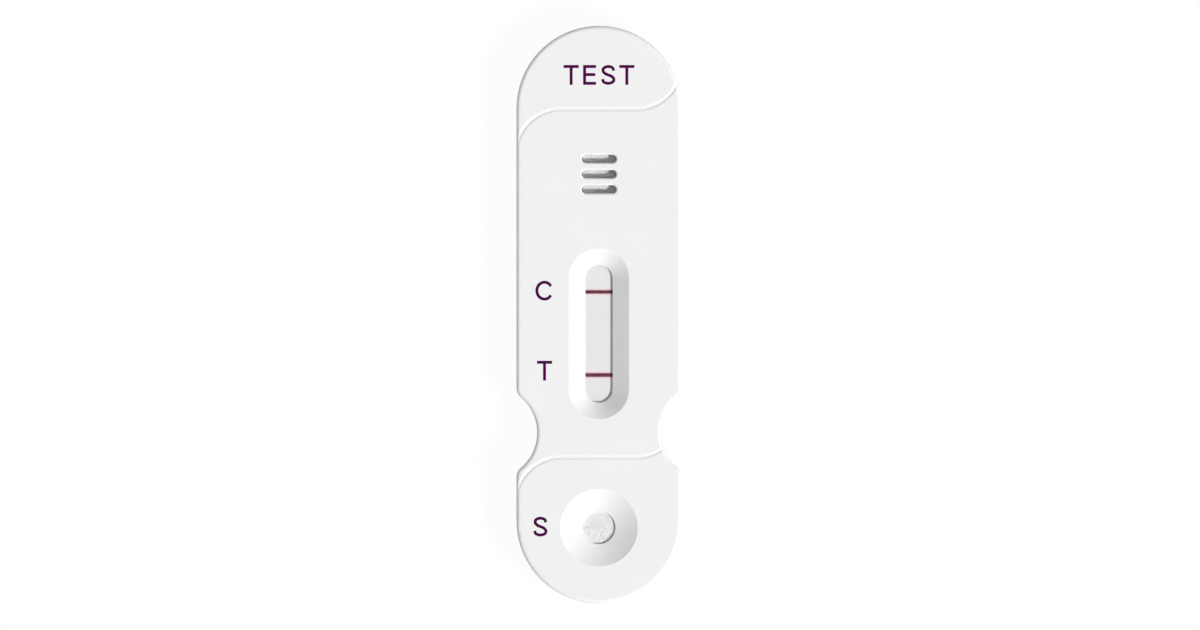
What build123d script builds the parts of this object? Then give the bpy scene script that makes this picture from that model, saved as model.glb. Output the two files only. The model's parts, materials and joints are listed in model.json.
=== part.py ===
from build123d import *
from math import cos, pi, sin
import os

# Lateral flow cassette: two moulded shells pressed together round a lapped test strip.
# Millimetres. +Z up, +Y toward the vented end, origin in the middle of the flat underside.

# Housing
length = 70.0
width = 20.0
height = 5.0
wall = 1.2
roof = 1.0
floor = 1.0
parting_height = 2.4
face_round = 0.45
rim_bands = 4
base_chamfer = 0.3
parting_chamfer = 0.1

# Finger notches, a concave arc with a convex round on each side of it
notch_from_end = 20.7
notch_depth = 2.5
notch_radius = 5.6
notch_round = 1.5
least_round = 0.2

# Tongues on the lower shell's side walls, in rabbets of the upper one
tongue_length = 31.0
tongue_height = 0.6
tongue_thickness = 0.5
tongue_from_end = 11.0
lap_play = 0.05

# Press pins under the roof, in sockets on the floor
pin_radius = 0.7
pin_chamfer = 0.25
pin_play = 0.02
pin_tip_gap = 0.3
socket_wall = 0.8
socket_inset = 1.1
socket_drop = 0.1
end_pins_from_end = 11.5
pin_spread = 26.0
upper_pin_rows = 2

# Read window: a stadium opening at the foot of a straight funnel
window_length = 16.7
window_width = 3.3
window_slope = 2.0
window_lip = 0.1
window_play = 0.2
window_rim = 1.6
window_offset = -2.32

# Sample well: a round hole at the foot of a bowed dish
well_radius = 2.0
well_mouth_radius = 4.7
well_lip = 0.25
well_bow = 0.085
well_rim = 2.2
well_from_end = 9.18

# Vent slots over the absorbent pad
vent_count = 3
vent_pitch = 1.85
vent_length = 4.2
vent_width = 1.0
vent_chamfer = 0.16
vents_from_end = 17.97

# Curved grooves across the face: an unequal V, with its wider, gentler side toward +Y.
# The cutter stands proud of the face by a share of the groove's depth.
groove_bend = 5.6
groove_overrun = 0.1
groove_turn = 82
groove_depth = 0.09
groove_slope = 0.36
groove_step = 0.26
groove_proud = 0.5
upper_groove_from_end = 10.15
lower_groove_from_end = 17.65

# Test strip
strip_width = 4.0
strip_end_gap = 3.8
card_thickness = 0.25
membrane_thickness = 0.15
conjugate_thickness = 0.2
sample_thickness = 0.3
absorbent_thickness = 0.6
membrane_margin = 2.0
pad_lap = 2.0
pad_ramp = 0.6
pad_gap = 0.4
strip_play = 0.05

# Strip bed on the floor: two rails, end stops and cross ribs
rail = 0.8
bed_rib = 0.8
bed_ribs = 13
strip_side_play = 0.1
strip_end_play = 0.15

# Press bars under the roof, across the strip's laps
press_bar = 0.8

# Heights. The thickest lap of the strip lies just under the roof, and the bed carries the card there.
roof_underside = height - roof
card_top = roof_underside - strip_play - absorbent_thickness - membrane_thickness
bed_top = card_top - card_thickness
membrane_top = card_top + membrane_thickness
conjugate_top = card_top + conjugate_thickness
sample_top = card_top + sample_thickness
window_rim_foot = membrane_top + window_play
window_funnel_foot = window_rim_foot + window_lip
well_rim_foot = sample_top + strip_play
well_dish_foot = well_rim_foot + well_lip
socket_top = parting_height - socket_drop

# Places along the housing
upper_end = length / 2
lower_end = -length / 2
notch_y = lower_end + notch_from_end
well_y = lower_end + well_from_end
vents_y = upper_end - vents_from_end
tongue_y = upper_end - tongue_from_end - tongue_length / 2

# Places along the strip, from its lower end to its upper one
strip_length = length - 2 * (wall + strip_end_gap)
strip_start = -strip_length / 2
strip_end = strip_length / 2
window_reach = window_length / 2 + window_rim
membrane_start = window_offset - window_reach - membrane_margin
membrane_end = window_offset + window_reach + membrane_margin
conjugate_start = well_y + well_radius + well_rim + pad_ramp + pad_gap
conjugate_end = membrane_start + pad_lap - pad_gap
sample_end = membrane_start - pad_ramp - pad_gap
absorbent_start = membrane_end - pad_lap + pad_gap

# Press pins, one row near the lower end and the rest counted down from the upper end
socket_radius = pin_radius + pin_play + socket_wall
pin_x = width / 2 - wall - socket_inset - socket_radius
pin_rows = [upper_end - end_pins_from_end - row * pin_spread for row in range(upper_pin_rows)]
pin_rows.append(lower_end + end_pins_from_end)


def outline(inset):
    """Plan of the housing, a stadium with a finger notch in each long side, moved in by inset."""
    centre_out = notch_radius - notch_depth
    shape = stadium(length - 2 * inset, width - 2 * inset)
    for side in (-1, 1):
        shape -= Pos(side * (width / 2 + centre_out), notch_y) * Circle(notch_radius + inset)
    corners = shape.vertices().sort_by_distance((0, notch_y))[:4]
    return fillet(corners, max(notch_round - inset, least_round))


def stadium(overall_length, overall_width):
    """Round-ended outline along Y."""
    return Rot(Z=90) * SlotOverall(overall_length, overall_width)


def raised(plan, low, high):
    """A plan made solid between two heights."""
    return Pos(Z=low) * extrude(plan, high - low)


def at_pins(piece):
    """The piece at each press pin's place."""
    return [Pos(side * pin_x, y) * piece for side in (-1, 1) for y in pin_rows]


def window_opening():
    """Upright lip at the foot, then a straight funnel up to the face."""
    aperture = stadium(window_length, window_width)
    mouth = stadium(window_length + 2 * window_slope, window_width + 2 * window_slope)
    lip = raised(aperture, window_rim_foot, window_funnel_foot)
    funnel = loft([Pos(Z=window_funnel_foot) * aperture, Pos(Z=height) * mouth], ruled=True)
    return Pos(Y=window_offset) * (lip + funnel)


def window_boss():
    """Thick rim under the roof that brings the window down to just above the membrane."""
    rim = stadium(window_length + 2 * window_rim, window_width + 2 * window_rim)
    return Pos(Y=window_offset) * raised(rim, window_rim_foot, roof_underside)


def well_opening():
    """Upright lip at the foot, then a dish that bows and steepens toward the face."""
    foot = (0, well_rim_foot)
    dish_foot = (well_radius, well_dish_foot)
    dish_mouth = (well_mouth_radius, height)
    lip = Polyline(foot, (well_radius, well_rim_foot), dish_foot)
    dish = SagittaArc(dish_foot, dish_mouth, -well_bow)
    top = Polyline(dish_mouth, (0, height), foot)
    return Pos(Y=well_y) * revolve(Plane.XZ * make_face(lip + dish + top), Axis.Z)


def well_boss():
    """Thick collar under the roof that brings the well down to the sample pad."""
    return Pos(Y=well_y) * raised(Circle(well_radius + well_rim), well_rim_foot, roof_underside)


def groove(y):
    """Unequal V along a straight run that bends down at the left side and up at the right one."""
    bend_x = width / 2 + groove_overrun - groove_bend
    left_bend = CenterArc((-bend_x, y - groove_bend), groove_bend, 90, groove_turn)
    right_bend = CenterArc((bend_x, y + groove_bend), groove_bend, 270, groove_turn)
    path = Pos(Z=height) * (left_bend + Line((-bend_x, y), (bend_x, y)) + right_bend)
    rightward = (path % 0) * (path % 0.5).X
    toward_vents = Vector(0, 0, 1).cross(rightward)
    reach = 1 + groove_proud
    slope_top = (groove_slope * reach, groove_depth * groove_proud)
    step_top = (-groove_step * reach, groove_depth * groove_proud)
    profile = Polygon((0, -groove_depth), slope_top, step_top, align=None)
    return sweep(Plane(path @ 0, x_dir=toward_vents, z_dir=rightward) * profile, path=path)


def vents():
    """The row of round-ended slots through the roof."""
    slot = raised(SlotOverall(vent_length, vent_width), roof_underside, height)
    return [Pos(Y=vents_y) * place * slot for place in GridLocations(0, vent_pitch, 1, vent_count)]


def press_bars():
    """Bars across the strip that hold its two lower laps down."""
    sample_lap = (conjugate_start + sample_end) / 2
    conjugate_lap = (membrane_start + conjugate_end) / 2
    bar = Rectangle(strip_width + 2 * (strip_side_play + rail), press_bar)
    sample_bar = raised(bar, conjugate_top + sample_thickness + strip_play, roof_underside)
    conjugate_bar = raised(bar, membrane_top + conjugate_thickness + strip_play, roof_underside)
    return [Pos(Y=sample_lap) * sample_bar, Pos(Y=conjugate_lap) * conjugate_bar]


def press_pin():
    """Pin with a chamfered tip."""
    pin = raised(Circle(pin_radius), floor + pin_tip_gap, roof_underside)
    return chamfer(pin.edges().sort_by(Axis.Z)[0], pin_chamfer)


def laps(play):
    """Plan of the tongues: straight runs in the inner part of the side walls."""
    run = Pos(Y=tongue_y) * Rectangle(width, tongue_length + 2 * play)
    return (outline(wall - tongue_thickness - play) - outline(wall)) & run


def upper_block():
    """The upper half's solid block, its rim rounded in narrow bands along a quarter circle."""
    rings = []
    for band in range(rim_bands + 1):
        turn = pi / 2 * band / rim_bands
        drop = face_round * (1 - sin(turn))
        rings.append(Pos(Z=height - drop) * outline(face_round * (1 - cos(turn))))
    block = raised(outline(0), parting_height, height - face_round)
    return block + [loft(pair, ruled=True) for pair in zip(rings, rings[1:])]


def top_shell():
    shell = upper_block()
    shell = chamfer(shell.faces().sort_by(Axis.Z)[0].edges(), parting_chamfer)
    shell -= raised(outline(wall), parting_height, roof_underside)
    shell -= raised(laps(lap_play), parting_height, parting_height + tongue_height + lap_play)
    shell -= vents()
    vent_rims = shell.faces().sort_by(Axis.Z)[-1].inner_wires()
    shell = chamfer([edge for rim in vent_rims for edge in rim.edges()], vent_chamfer)
    shell += [window_boss(), well_boss(), *press_bars(), *at_pins(press_pin())]
    shell -= [window_opening(), well_opening()]
    shell -= [groove(upper_end - upper_groove_from_end), groove(lower_end + lower_groove_from_end)]
    return shell


def strip_bed():
    """Tray that holds the strip level: rails and end stops round it, cross ribs under it."""
    inner_width = strip_width + 2 * strip_side_play
    inner_length = strip_length + 2 * strip_end_play
    tray = Rectangle(inner_width + 2 * rail, inner_length + 2 * rail) - Rectangle(inner_width, inner_length)
    rib = raised(Rectangle(inner_width + rail, bed_rib), floor, bed_top)
    pitch = (strip_length - bed_rib) / (bed_ribs - 1)
    ribs = [place * rib for place in GridLocations(0, pitch, 1, bed_ribs)]
    return [raised(tray, floor, membrane_top), *ribs]


def bottom_shell():
    shell = raised(outline(0), 0, parting_height)
    shell = chamfer(shell.faces().sort_by(Axis.Z)[0].edges(), base_chamfer)
    shell = chamfer(shell.faces().sort_by(Axis.Z)[-1].edges(), parting_chamfer)
    shell += raised(laps(0), parting_height, parting_height + tongue_height)
    shell -= raised(outline(wall), floor, parting_height)
    shell += [*strip_bed(), *at_pins(raised(Circle(socket_radius), floor, socket_top))]
    shell -= at_pins(raised(Circle(pin_radius + pin_play), floor, socket_top))
    return shell


def strip_piece(start, end, low, thickness):
    """Flat piece of the strip, as wide as the strip."""
    return Pos(0, (start + end) / 2, low) * extrude(Rectangle(strip_width, end - start), thickness)


def lapped_pad(start, step, end, high, thickness):
    """Pad on the card from start, raised past step onto the end of the piece beside it."""
    onward = 1 if end > start else -1
    under = [(start, card_top), (step - onward * pad_ramp, card_top), (step, high), (end, high)]
    over = [(y, z + thickness) for y, z in reversed(under)]
    side = Plane.YZ * Polygon(*under, *over, align=None)
    return extrude(side, strip_width / 2, both=True)


def backing_card():
    return strip_piece(strip_start, strip_end, bed_top, card_thickness)


def membrane():
    return strip_piece(membrane_start, membrane_end, card_top, membrane_thickness)


def conjugate_pad():
    return lapped_pad(conjugate_start, membrane_start, conjugate_end, membrane_top, conjugate_thickness)


def sample_pad():
    return lapped_pad(strip_start, conjugate_start, sample_end, conjugate_top, sample_thickness)


def absorbent_pad():
    return lapped_pad(strip_end, membrane_end, absorbent_start, membrane_top, absorbent_thickness)


os.makedirs("parts", exist_ok=True)
for piece in (top_shell, bottom_shell, backing_card, membrane, conjugate_pad, sample_pad, absorbent_pad):
    export_step(piece(), f"parts/{piece.__name__}.step")
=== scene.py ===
import json
import math
import bpy
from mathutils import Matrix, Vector


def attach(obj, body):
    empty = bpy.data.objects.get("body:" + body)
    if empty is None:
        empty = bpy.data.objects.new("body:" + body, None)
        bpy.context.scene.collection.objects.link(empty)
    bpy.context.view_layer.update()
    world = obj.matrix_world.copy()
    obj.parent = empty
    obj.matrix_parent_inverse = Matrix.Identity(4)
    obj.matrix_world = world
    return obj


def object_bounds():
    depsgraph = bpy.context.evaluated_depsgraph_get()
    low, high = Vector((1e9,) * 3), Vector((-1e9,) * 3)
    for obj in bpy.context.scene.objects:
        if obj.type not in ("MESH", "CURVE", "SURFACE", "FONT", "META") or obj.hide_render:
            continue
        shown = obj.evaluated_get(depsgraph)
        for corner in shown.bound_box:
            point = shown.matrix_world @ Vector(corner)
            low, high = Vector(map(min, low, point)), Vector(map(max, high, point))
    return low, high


# A lateral flow test cassette, dressed piece by piece in the order it is put together.
# Metres and degrees, +Z up, +Y toward the vented end, the underside's middle at the origin.
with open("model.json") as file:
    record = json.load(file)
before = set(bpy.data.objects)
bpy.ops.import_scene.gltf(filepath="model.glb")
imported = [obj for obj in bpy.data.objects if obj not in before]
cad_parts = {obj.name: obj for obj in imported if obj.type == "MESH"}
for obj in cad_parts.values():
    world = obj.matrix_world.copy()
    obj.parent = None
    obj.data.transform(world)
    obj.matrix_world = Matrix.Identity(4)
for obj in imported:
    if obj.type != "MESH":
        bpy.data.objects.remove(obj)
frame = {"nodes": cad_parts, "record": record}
cad_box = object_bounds()
nodes = frame["nodes"]
mm = 0.001


# The lower shell
# Injection-moulded white styrene with a fine matt texture from the tool. It is the tray that the
# strip is laid in, and its sockets hold the upper shell's pins.

resin_dark = (0.868, 0.868, 0.868, 1)
resin_pale = (0.882, 0.882, 0.881, 1)
resin_cloud = 6 * mm
spark_size = 0.16 * mm
spark_depth = 0.004 * mm
shell_roughness = (0.72, 0.84)
shell_gloss = 0.2


def node(tree, kind, inputs=None, **settings):
    """Add a node. An input that is given a socket is linked, and any other value is set."""
    made = tree.nodes.new(kind)
    for name, value in settings.items():
        setattr(made, name, value)
    for name, value in (inputs or {}).items():
        if isinstance(value, bpy.types.NodeSocket):
            tree.links.new(value, made.inputs[name])
        else:
            made.inputs[name].default_value = value
    return made


def new_finish(name, **surface_values):
    """A material with its surface shader, and the object's own coordinates to draw patterns on."""
    finish = bpy.data.materials.new(name)
    finish.use_nodes = True
    tree = finish.node_tree
    surface = tree.nodes["Principled BSDF"]
    for socket, value in surface_values.items():
        surface.inputs[socket.replace("_", " ")].default_value = value
    place = node(tree, "ShaderNodeTexCoord").outputs["Object"]
    return finish, tree, surface, place


def grain(tree, place, size, detail=3.0, roughness=0.5):
    """Even noise whose spots are about this size across, from 0 to 1."""
    settings = {"Vector": place, "Scale": 1 / size, "Detail": detail, "Roughness": roughness}
    return node(tree, "ShaderNodeTexNoise", settings).outputs["Fac"]


def between(tree, factor, low, high, start=0.3, end=0.7):
    """A number that goes from low to high as factor goes from start to end."""
    settings = {"Value": factor, "From Min": start, "From Max": end, "To Min": low, "To Max": high}
    return node(tree, "ShaderNodeMapRange", settings).outputs["Result"]


def blend_colour(tree, factor, first, second):
    """The first colour where factor is 0 and the second where it is 1."""
    mixed = node(tree, "ShaderNodeMix", {0: factor, 6: first, 7: second}, data_type="RGBA")
    return mixed.outputs[2]


def raise_surface(tree, surface, height, distance, strength):
    """Relief of that height in the surface's shading."""
    settings = {"Height": height, "Distance": distance, "Strength": strength}
    bump = node(tree, "ShaderNodeBump", settings)
    tree.links.new(bump.outputs["Normal"], surface.inputs["Normal"])


def moulded_plastic():
    """White styrene: faint clouding in the resin, and the tool's fine spark texture."""
    finish, tree, surface, place = new_finish("white_moulded_plastic", Specular_IOR_Level=shell_gloss)
    clouds = between(tree, grain(tree, place, resin_cloud), 0, 1)
    sparks = grain(tree, place, spark_size, detail=4.0)
    tree.links.new(blend_colour(tree, clouds, resin_dark, resin_pale), surface.inputs["Base Color"])
    tree.links.new(between(tree, sparks, *shell_roughness), surface.inputs["Roughness"])
    raise_surface(tree, surface, sparks, spark_depth, strength=0.5)
    return finish


def dress(name, finish):
    """Give a piece that comes ready shaped its finish."""
    for slot in nodes[name].material_slots:
        slot.material = finish


shell_plastic = moulded_plastic()
dress("bottom_shell", shell_plastic)


# The backing card
# White polystyrene film with a pressure-sensitive adhesive. The membrane and the pads are stuck on
# it in a wide sheet that is then cut into strips.

film_dark = (0.84, 0.84, 0.83, 1)
film_pale = (0.87, 0.87, 0.86, 1)
film_roughness = (0.26, 0.36)
film_coat = 0.2
film_coat_roughness = 0.2
streak_length = 1.2 * mm
streak_slenderness = 8.0
streak_depth = 0.003 * mm


def card_film():
    """Smooth film with a faint lengthwise calender grain."""
    coat = {"Coat_Weight": film_coat, "Coat_Roughness": film_coat_roughness}
    finish, tree, surface, place = new_finish("backing_card_film", **coat)
    stretch = {"Vector": place, "Scale": (streak_slenderness, 1.0, streak_slenderness)}
    streaks = grain(tree, node(tree, "ShaderNodeMapping", stretch).outputs["Vector"], streak_length)
    colour = blend_colour(tree, between(tree, streaks, 0, 1), film_dark, film_pale)
    tree.links.new(colour, surface.inputs["Base Color"])
    tree.links.new(between(tree, streaks, *film_roughness), surface.inputs["Roughness"])
    raise_surface(tree, surface, streaks, streak_depth, strength=0.4)
    return finish


dress("backing_card", card_film())


# The membrane
# Cast nitrocellulose with open pores. The control line and the test line are striped onto it
# before the strip is cut, so they run its full width and fade a little at their edges.

sheet_dark = (0.790, 0.789, 0.787, 1)
sheet_pale = (0.815, 0.814, 0.812, 1)
sheet_roughness = 0.85
sheet_gloss = 0.25
pore_size = 0.05 * mm
pore_depth = 0.006 * mm
control_line_y = 2.75 * mm
control_line_width = 0.40 * mm
control_line_colour = (0.085, 0.021, 0.033, 1)
test_line_y = -7.32 * mm
test_line_width = 0.44 * mm
test_line_colour = (0.105, 0.019, 0.038, 1)
dye_bleed_colour = (0.80, 0.46, 0.54, 1)
dye_bleed = 0.24 * mm
dye_edge = 0.05 * mm
dye_patch = 0.9 * mm
dye_evenness = (0.93, 1.0)
waver_length = 0.12 * mm
waver_reach = 0.025 * mm


def maths(tree, operation, first, second=0.0):
    """One sum, on sockets or numbers."""
    return node(tree, "ShaderNodeMath", {0: first, 1: second}, operation=operation).outputs[0]


def fading(tree, aside, full, none):
    """1 up to one distance aside, falling to 0 at the other."""
    settings = {"Value": aside, "From Min": none, "From Max": full}
    return node(tree, "ShaderNodeMapRange", settings, interpolation_type="SMOOTHSTEP").outputs["Result"]


def dyed_line(tree, sheet, along, patches, line_y, line_width, line_colour):
    """The sheet's colour with a line dyed in it: a dense core, and a pale bleed at both its edges."""
    aside = maths(tree, "ABSOLUTE", maths(tree, "SUBTRACT", along, line_y))
    reach = line_width / 2
    bleed = fading(tree, aside, reach, reach + dye_bleed)
    core = maths(tree, "MULTIPLY", fading(tree, aside, reach - dye_edge, reach + dye_edge), patches)
    return blend_colour(tree, core, blend_colour(tree, bleed, sheet, dye_bleed_colour), line_colour)


def striped_membrane():
    """Paper-white porous sheet with its two dyed lines."""
    dullness = {"Roughness": sheet_roughness, "Specular_IOR_Level": sheet_gloss}
    finish, tree, surface, place = new_finish("striped_membrane", **dullness)
    pores = grain(tree, place, pore_size, detail=4.0, roughness=0.65)
    patches = between(tree, grain(tree, place, dye_patch), *dye_evenness)
    sheet = blend_colour(tree, between(tree, pores, 0, 1), sheet_dark, sheet_pale)
    length_wise = node(tree, "ShaderNodeSeparateXYZ", {"Vector": place}).outputs["Y"]
    waver = between(tree, grain(tree, place, waver_length), -waver_reach, waver_reach, start=0, end=1)
    along = maths(tree, "ADD", length_wise, waver)
    sheet = dyed_line(tree, sheet, along, patches, control_line_y, control_line_width, control_line_colour)
    sheet = dyed_line(tree, sheet, along, patches, test_line_y, test_line_width, test_line_colour)
    tree.links.new(sheet, surface.inputs["Base Color"])
    raise_surface(tree, surface, pores, pore_depth, strength=0.5)
    return finish


dress("membrane", striped_membrane())


# The conjugate pad
# Glass fibre soaked with the dried, pink colloid that later dyes the lines. It is lapped on the
# membrane's lower end and hidden under the upper shell.

conjugate_pale = (0.82, 0.60, 0.63, 1)
conjugate_dark = (0.74, 0.47, 0.52, 1)
conjugate_strand = 0.03 * mm
conjugate_relief = 0.02 * mm
mat_roughness = 0.9
mat_gloss = 0.2
strand_ways = (10, 70, 130)
strand_slenderness = 9.0
strand_flatness = 3.0


def fibre_mat(name, pale, dark, strand, relief):
    """Matted fibres: three layers of drawn-out noise, laid in three directions."""
    dullness = {"Roughness": mat_roughness, "Specular_IOR_Level": mat_gloss}
    finish, tree, surface, place = new_finish(name, **dullness)
    drawn_out = (1.0, strand_slenderness, strand_flatness)
    mat = 0.0
    for way in strand_ways:
        settings = {"Vector": place, "Rotation": (0, 0, math.radians(way)), "Scale": drawn_out}
        layer = node(tree, "ShaderNodeMapping", settings).outputs["Vector"]
        mat = maths(tree, "MAXIMUM", mat, grain(tree, layer, strand * strand_slenderness, detail=2.0))
    tone = between(tree, mat, 0, 1, start=0.45, end=0.75)
    tree.links.new(blend_colour(tree, tone, dark, pale), surface.inputs["Base Color"])
    raise_surface(tree, surface, mat, relief, strength=0.8)
    return finish


conjugate_mat = fibre_mat(
    "conjugate_fibre_mat", conjugate_pale, conjugate_dark, conjugate_strand, conjugate_relief
)
dress("conjugate_pad", conjugate_mat)


# The sample pad
# Bonded cellulose and glass fibre that takes up the drop of sample. It is lapped on the conjugate
# pad, and its loose surface fibres show in the well.

sample_pale = (0.95, 0.95, 0.945, 1)
sample_dark = (0.88, 0.88, 0.875, 1)
sample_strand = 0.025 * mm
sample_relief = 0.008 * mm
sample_fibres_per_square_metre = 5e7
sample_fibre_length = 1.1 * mm
shortest_fibre_share = 0.5
fibre_radius = 0.007 * mm
fibre_rise = 0.02 * mm
fibre_waviness = 0.3 * mm
fibre_wave_length = 0.5 * mm
fibre_points = 7
fibre_sides = 4
round_sides = 48


def group_input(tree, name, kind, default=None):
    """A named input of a tree."""
    made = tree.interface.new_socket(name=name, in_out="INPUT", socket_type=kind)
    if default is not None:
        made.default_value = default


def loose_fibres_tree():
    """Scatter short, wavy fibres flat over a surface."""
    tree = bpy.data.node_groups.new("loose_fibres", "GeometryNodeTree")
    group_input(tree, "Surface", "NodeSocketGeometry")
    group_input(tree, "Fibres per square metre", "NodeSocketFloat", sample_fibres_per_square_metre)
    group_input(tree, "Fibre length", "NodeSocketFloat", sample_fibre_length)
    group_input(tree, "Fibre radius", "NodeSocketFloat", fibre_radius)
    group_input(tree, "Waviness", "NodeSocketFloat", fibre_waviness)
    group_input(tree, "Wave length", "NodeSocketFloat", fibre_wave_length)
    group_input(tree, "Rise", "NodeSocketFloat", fibre_rise)
    group_input(tree, "Seed", "NodeSocketInt", 1)
    group_input(tree, "Finish", "NodeSocketMaterial")
    tree.interface.new_socket(name="Fibres", in_out="OUTPUT", socket_type="NodeSocketGeometry")
    given = node(tree, "NodeGroupInput").outputs
    spread = {"Mesh": given["Surface"], "Density": given["Fibres per square metre"], "Seed": given["Seed"]}
    points = node(tree, "GeometryNodeDistributePointsOnFaces", spread).outputs["Points"]
    rise = node(tree, "FunctionNodeRandomValue", {"Max": given["Rise"], "Seed": given["Seed"]})
    lift = node(tree, "ShaderNodeCombineXYZ", {"Z": rise.outputs[1]}).outputs["Vector"]
    layered = node(tree, "GeometryNodeSetPosition", {"Geometry": points, "Offset": lift}).outputs["Geometry"]
    any_way = {0: (-math.pi,) * 3, 1: (math.pi,) * 3, "Seed": given["Seed"]}
    turned = node(tree, "FunctionNodeRandomValue", any_way, data_type="FLOAT_VECTOR").outputs[0]
    upright = {0: turned, 1: (0, 0, 1)}
    flat_turn = node(tree, "ShaderNodeVectorMath", upright, operation="MULTIPLY").outputs[0]
    shares = {2: shortest_fibre_share, 3: 1.0, "Seed": given["Seed"]}
    share = node(tree, "FunctionNodeRandomValue", shares).outputs[1]
    size = maths(tree, "MULTIPLY", share, given["Fibre length"])
    line = node(tree, "GeometryNodeCurvePrimitiveLine", {"Start": (-0.5, 0, 0), "End": (0.5, 0, 0)})
    fibre = node(tree, "GeometryNodeResampleCurve", {"Curve": line.outputs["Curve"], "Count": fibre_points})
    laid = {"Points": layered, "Instance": fibre.outputs["Curve"], "Rotation": flat_turn, "Scale": size}
    scattered = node(tree, "GeometryNodeInstanceOnPoints", laid).outputs["Instances"]
    curves = node(tree, "GeometryNodeRealizeInstances", {"Geometry": scattered}).outputs["Geometry"]
    waves = {"Scale": maths(tree, "DIVIDE", 1.0, given["Wave length"]), "Detail": 1.0}
    drift = {0: node(tree, "ShaderNodeTexNoise", waves).outputs["Color"], 1: (0.5, 0.5, 0.5)}
    centred = {0: node(tree, "ShaderNodeVectorMath", drift, operation="SUBTRACT").outputs[0], 1: (1, 1, 0)}
    level = node(tree, "ShaderNodeVectorMath", centred, operation="MULTIPLY").outputs[0]
    scaled = {0: level, "Scale": given["Waviness"]}
    bend = node(tree, "ShaderNodeVectorMath", scaled, operation="SCALE").outputs[0]
    wavy = node(tree, "GeometryNodeSetPosition", {"Geometry": curves, "Offset": bend}).outputs["Geometry"]
    round_section = {"Resolution": fibre_sides, "Radius": given["Fibre radius"]}
    section = node(tree, "GeometryNodeCurvePrimitiveCircle", round_section).outputs["Curve"]
    tubes = {"Curve": wavy, "Profile Curve": section, "Fill Caps": True}
    solid = node(tree, "GeometryNodeCurveToMesh", tubes).outputs["Mesh"]
    realized = node(tree, "GeometryNodeRealizeInstances", {"Geometry": solid}).outputs["Geometry"]
    finished = {"Geometry": realized, "Material": given["Finish"]}
    coated = node(tree, "GeometryNodeSetMaterial", finished).outputs["Geometry"]
    node(tree, "NodeGroupOutput", {"Fibres": coated})
    return tree


def new_object(name, data):
    """An object in the scene that shows a mesh, curve, lamp or camera."""
    made = bpy.data.objects.new(name, data)
    bpy.context.scene.collection.objects.link(made)
    return made


def grown(name, start, tree, **given):
    """The plain mesh that a tree makes of a starting object, which is then removed."""
    modifier = start.modifiers.new(name, "NODES")
    modifier.node_group = tree
    for socket in tree.interface.items_tree:
        key = socket.name.replace(" ", "_")
        if key in given:
            modifier[socket.identifier] = given[key]
    made = bpy.data.meshes.new_from_object(start.evaluated_get(bpy.context.evaluated_depsgraph_get()))
    start.modifiers.remove(modifier)
    bpy.data.objects.remove(start)
    made.name = name
    return new_object(name, made)


def flat_patch(name, outline):
    """A flat face round an outline of points."""
    face = bpy.data.meshes.new(name)
    face.from_pydata(outline, [], [range(len(outline))])
    return new_object(name, face)


def round_outline(centre, radius, length=0.0):
    """Points of a circle, drawn out along X by a length, at a height."""
    points = []
    for side in range(round_sides):
        turn = 2 * math.pi * (side + 0.5) / round_sides
        x = centre.x + math.copysign(length / 2, math.cos(turn)) + radius * math.cos(turn)
        points.append((x, centre.y + radius * math.sin(turn), centre.z))
    return points


def on_top(name, x, y):
    """The spot on a piece's upper surface at a place."""
    above = Vector((x, y, cad_box[1][2]))
    down = Vector((0, 0, -1))
    return nodes[name].ray_cast(above, down)[1]


well = next(mount for mount in frame["record"]["mounts"] if mount["name"] == "sample_well")
well_radius = well["dims"]["r_mm"] * mm
well_floor = on_top("sample_pad", *well["pos_m"][:2])
sample_mat = fibre_mat("sample_fibre_mat", sample_pale, sample_dark, sample_strand, sample_relief)
dress("sample_pad", sample_mat)
loose_fibres = loose_fibres_tree()
sample_patch = flat_patch("sample_patch", round_outline(well_floor, well_radius))
sample_fibres = grown("sample_pad_fibres", sample_patch, loose_fibres, Seed=3, Finish=sample_mat)
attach(sample_fibres, "root")


# The absorbent pad
# Thick cellulose wick that draws the sample along the strip. It is lapped on the membrane's upper
# end and shows through the three vent slots.

wick_pale = (0.86, 0.86, 0.85, 1)
wick_dark = (0.76, 0.76, 0.75, 1)
wick_strand = 0.04 * mm
wick_relief = 0.03 * mm
wick_fibre = {"Fibres_per_square_metre": 4e7, "Fibre_length": 0.9 * mm, "Fibre_radius": 0.01 * mm}
vent_count = 3
vent_pitch = 1.85 * mm
vents_middle_y = 17.03 * mm
vent_length = 4.2 * mm
vent_width = 1.0 * mm

wick_mat = fibre_mat("absorbent_fibre_mat", wick_pale, wick_dark, wick_strand, wick_relief)
dress("absorbent_pad", wick_mat)
for number in range(1, vent_count + 1):
    vent_y = vents_middle_y + (number - (vent_count + 1) / 2) * vent_pitch
    vent_floor = on_top("absorbent_pad", 0, vent_y)
    patch = flat_patch("wick_patch", round_outline(vent_floor, vent_width / 2, vent_length - vent_width))
    name = f"absorbent_pad_fibres_{number}"
    wick_fibres = grown(name, patch, loose_fibres, **wick_fibre, Seed=number, Finish=wick_mat)
    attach(wick_fibres, "root")


# The upper shell
# The same moulded styrene. It is pressed down onto the lower shell's sockets, and its funnels bring
# the window and the well down to the strip.

dress("top_shell", shell_plastic)


# The printed marks
# Pad-printed ink, a few thousandths of a millimetre thick: C and T beside their lines, S beside the
# well, and a plain word at the vented end.

ink_dark = (0.063, 0.0003, 0.053, 1)
ink_pale = (0.077, 0.0006, 0.065, 1)
ink_roughness = (0.45, 0.60)
ink_gloss = 0.05
ink_mottle = 0.15 * mm
ink_relief = 0.002 * mm
ink_width = 0.36 * mm
ink_height = 0.008 * mm
cap_height = 2.4 * mm
letter_pitch = 2.25 * mm
bowl_points = 13
bowl_smoothness = 6
face_height = cad_box[1][2]

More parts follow.
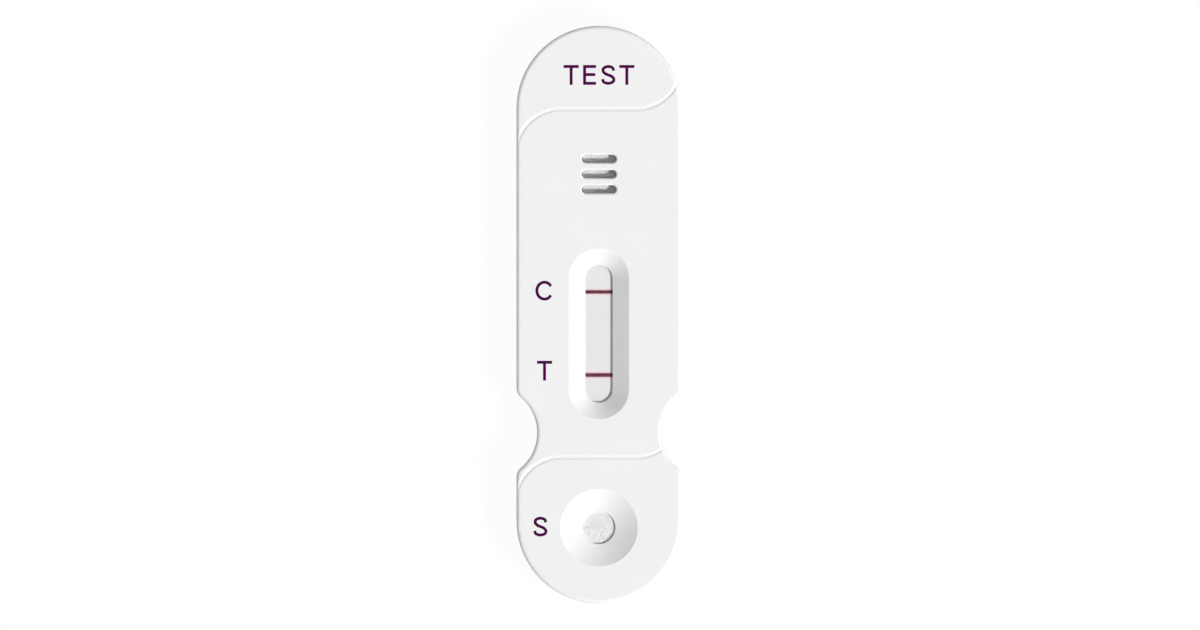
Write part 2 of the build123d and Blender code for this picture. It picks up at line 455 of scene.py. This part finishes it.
c_half_width = 0.93 * mm
c_opening = 33
t_half_width = 0.92 * mm
s_width = 1.46 * mm
s_lower_bowl = 1.06
e_left = -0.62 * mm
e_right = 0.78 * mm
e_middle_right = 0.68 * mm
e_middle_y = 0.04 * mm


def printing_ink():
    """Dark purple ink, a little uneven where the pad laid it down."""
    finish, tree, surface, place = new_finish("dark_printing_ink", Specular_IOR_Level=ink_gloss)
    mottle = grain(tree, place, ink_mottle)
    colour = blend_colour(tree, between(tree, mottle, 0, 1), ink_dark, ink_pale)
    tree.links.new(colour, surface.inputs["Base Color"])
    tree.links.new(between(tree, mottle, *ink_roughness), surface.inputs["Roughness"])
    raise_surface(tree, surface, mottle, ink_relief, strength=0.4)
    return finish


def inked_stroke_tree():
    """Give a line on the face the width and thickness of a printed stroke."""
    tree = bpy.data.node_groups.new("inked_stroke", "GeometryNodeTree")
    group_input(tree, "Lines", "NodeSocketGeometry")
    group_input(tree, "Stroke width", "NodeSocketFloat", ink_width)
    group_input(tree, "Ink thickness", "NodeSocketFloat", ink_height)
    group_input(tree, "Bowl smoothness", "NodeSocketInt", bowl_smoothness)
    group_input(tree, "Finish", "NodeSocketMaterial")
    tree.interface.new_socket(name="Strokes", in_out="OUTPUT", socket_type="NodeSocketGeometry")
    given = node(tree, "NodeGroupInput").outputs
    bowed = node(tree, "GeometryNodeCurveSplineType", {"Curve": given["Lines"]}, spline_type="CATMULL_ROM")
    rounding = {"Geometry": bowed.outputs["Curve"], "Resolution": given["Bowl smoothness"]}
    smooth = node(tree, "GeometryNodeSetSplineResolution", rounding).outputs["Geometry"]
    level = node(tree, "GeometryNodeSetCurveNormal", {"Curve": smooth}, mode="Z_UP").outputs["Curve"]
    section = {"Width": given["Stroke width"], "Height": given["Ink thickness"]}
    profile = node(tree, "GeometryNodeCurvePrimitiveQuadrilateral", section).outputs["Curve"]
    ribbon = {"Curve": level, "Profile Curve": profile, "Fill Caps": True}
    solid = node(tree, "GeometryNodeCurveToMesh", ribbon).outputs["Mesh"]
    realized = node(tree, "GeometryNodeRealizeInstances", {"Geometry": solid}).outputs["Geometry"]
    finished = {"Geometry": realized, "Material": given["Finish"]}
    coated = node(tree, "GeometryNodeSetMaterial", finished).outputs["Geometry"]
    node(tree, "NodeGroupOutput", {"Strokes": coated})
    return tree


def bowl(radius_x, radius_y, start, end):
    """The round stroke of a letter, from one angle to another in degrees."""
    step = (end - start) / (bowl_points - 1)
    turns = [math.radians(start + step * number) for number in range(bowl_points)]
    return [(radius_x * math.cos(turn), radius_y * math.sin(turn)) for turn in turns]


def double_bowl(width, height):
    """An S: its upper half from the end at the right, and the same turned round and wider below."""
    upper = [(0.45, 0.25), (0.34, 0.43), (0.0, 0.5), (-0.33, 0.43), (-0.44, 0.26), (-0.27, 0.09)]
    lower = [(-x * s_lower_bowl, -y) for x, y in reversed(upper)]
    return [(x * width, y * height) for x, y in [*upper, (0.0, 0.0), *lower]]


half_stroke = ink_width / 2
foot_y = half_stroke - cap_height / 2
cap_y = cap_height / 2 - half_stroke
arm_left = e_left + half_stroke
letter_strokes = {
    "C": [bowl(c_half_width, cap_y, c_opening, 360 - c_opening)],
    "T": [
        [(-t_half_width, cap_y), (t_half_width, cap_y)],
        [(0, cap_y - half_stroke), (0, foot_y - half_stroke)],
    ],
    "S": [double_bowl(s_width, cap_y - foot_y)],
    "E": [
        [(e_left, cap_y + half_stroke), (e_left, foot_y - half_stroke)],
        [(arm_left, cap_y), (e_right, cap_y)],
        [(arm_left, e_middle_y), (e_middle_right, e_middle_y)],
        [(arm_left, foot_y), (e_right, foot_y)],
    ],
}
printed_marks = {
    "letter_C": ("C", -6.60 * mm, 2.90 * mm),
    "letter_T": ("T", -6.60 * mm, -6.80 * mm),
    "letter_S": ("S", -7.10 * mm, -25.70 * mm),
    "word_TEST": ("TEST", 0.0, 29.05 * mm),
}
dark_ink = printing_ink()
inked_stroke = inked_stroke_tree()
for name, (text, centre_x, centre_y) in printed_marks.items():
    lines = bpy.data.curves.new(name, "CURVE")
    lines.dimensions = "3D"
    for place_in_word, letter in enumerate(text):
        shift = (place_in_word - (len(text) - 1) / 2) * letter_pitch
        for stroke in letter_strokes[letter]:
            spline = lines.splines.new("POLY")
            spline.points.add(len(stroke) - 1)
            for point, (x, y) in zip(spline.points, stroke):
                point.co = (centre_x + shift + x, centre_y + y, face_height, 1)
    mark = grown(name, new_object(name, lines), inked_stroke, Finish=dark_ink)
    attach(mark, "root")


# The table
# A plain white sheet. It shows white to the camera and keeps a faint shadow of the cassette, and it
# throws only a quarter of its light back up, so that the cassette's sides keep their tone.

table_reach = 3.0
table_drop = 0.02 * mm
paper_colour = (0.95, 0.95, 0.95, 1)
thrown_back_colour = (0.25, 0.25, 0.25, 1)
pure_white = (1, 1, 1, 1)
shadow_share = 0.04

table_mesh = bpy.data.meshes.new("table_sheet")
ways = ((-1, -1), (1, -1), (1, 1), (-1, 1))
corners = [(x * table_reach, y * table_reach, -table_drop) for x, y in ways]
table_mesh.from_pydata(corners, [], [range(len(corners))])
table = new_object("table_sheet", table_mesh)


def seen_directly(tree):
    """1 for rays from the camera, off something glossy or through something clear, else 0."""
    rays = node(tree, "ShaderNodeLightPath").outputs
    reflected = maths(tree, "MAXIMUM", rays["Is Glossy Ray"], rays["Is Transmission Ray"])
    return maths(tree, "MAXIMUM", rays["Is Camera Ray"], reflected)


table_white = bpy.data.materials.new("table_white")
table_white.use_nodes = True
tree = table_white.node_tree
tree.nodes.clear()
dull = node(tree, "ShaderNodeBsdfDiffuse", {"Color": thrown_back_colour}).outputs[0]
paper = node(tree, "ShaderNodeBsdfDiffuse", {"Color": paper_colour}).outputs[0]
white = node(tree, "ShaderNodeEmission", {"Color": pure_white, "Strength": 1.0}).outputs[0]
seen = node(tree, "ShaderNodeMixShader", {0: shadow_share, 1: white, 2: paper}).outputs[0]
shown = node(tree, "ShaderNodeMixShader", {0: seen_directly(tree), 1: dull, 2: seen}).outputs[0]
node(tree, "ShaderNodeOutputMaterial", {"Surface": shown})
table_mesh.materials.append(table_white)


# The light
# One soft lamp at the lower right, and a white room that is brightest near its horizon and fades
# evenly to nothing overhead, so that a flat face gets a third of the horizon's strength from it.

lamp_bearing = -32
lamp_height = 44
lamp_spread = 8
full_light = 1.0
room_light = 0.36
horizon_light = 3 * room_light
lamp_strength = math.pi * (full_light - room_light) / math.sin(math.radians(lamp_height))

lamp_data = bpy.data.lights.new("studio_lamp", "SUN")
lamp_data.energy = lamp_strength
lamp_data.angle = math.radians(lamp_spread)
lamp = new_object("studio_lamp", lamp_data)
lamp.rotation_euler = (0, math.radians(90 - lamp_height), math.radians(lamp_bearing))

world = bpy.data.worlds.new("white_room")
bpy.context.scene.world = world
world.use_nodes = True
tree = world.node_tree
tree.nodes.clear()
direction = node(tree, "ShaderNodeTexCoord").outputs["Generated"]
upward = node(tree, "ShaderNodeSeparateXYZ", {"Vector": direction}).outputs["Z"]
strength = between(tree, upward, horizon_light, 0, start=0, end=1)
soft = node(tree, "ShaderNodeBackground", {"Color": pure_white, "Strength": strength}).outputs[0]
bright = node(tree, "ShaderNodeBackground", {"Color": pure_white, "Strength": 1.0}).outputs[0]
room = node(tree, "ShaderNodeMixShader", {0: seen_directly(tree), 1: soft, 2: bright}).outputs[0]
node(tree, "ShaderNodeOutputWorld", {"Surface": room})


# The camera
# Square above the cassette, with no perspective. The picture is 1200 pixels wide, and its middle
# lies a little off the cassette's.

picture_width_px = 1200
picture_middle_px = (600, 315)
cassette_middle_px = (599.0, 314.6)
px_per_mm = 8.25
camera_height = 0.3

camera_data = bpy.data.cameras.new("overhead_camera")
camera_data.type = "ORTHO"
camera_data.ortho_scale = picture_width_px / px_per_mm * mm
camera = new_object("overhead_camera", camera_data)
camera.location = (
    (picture_middle_px[0] - cassette_middle_px[0]) / px_per_mm * mm,
    (cassette_middle_px[1] - picture_middle_px[1]) / px_per_mm * mm,
    camera_height,
)
bpy.context.scene.camera = camera
bpy.context.scene.view_settings.view_transform = "Standard"
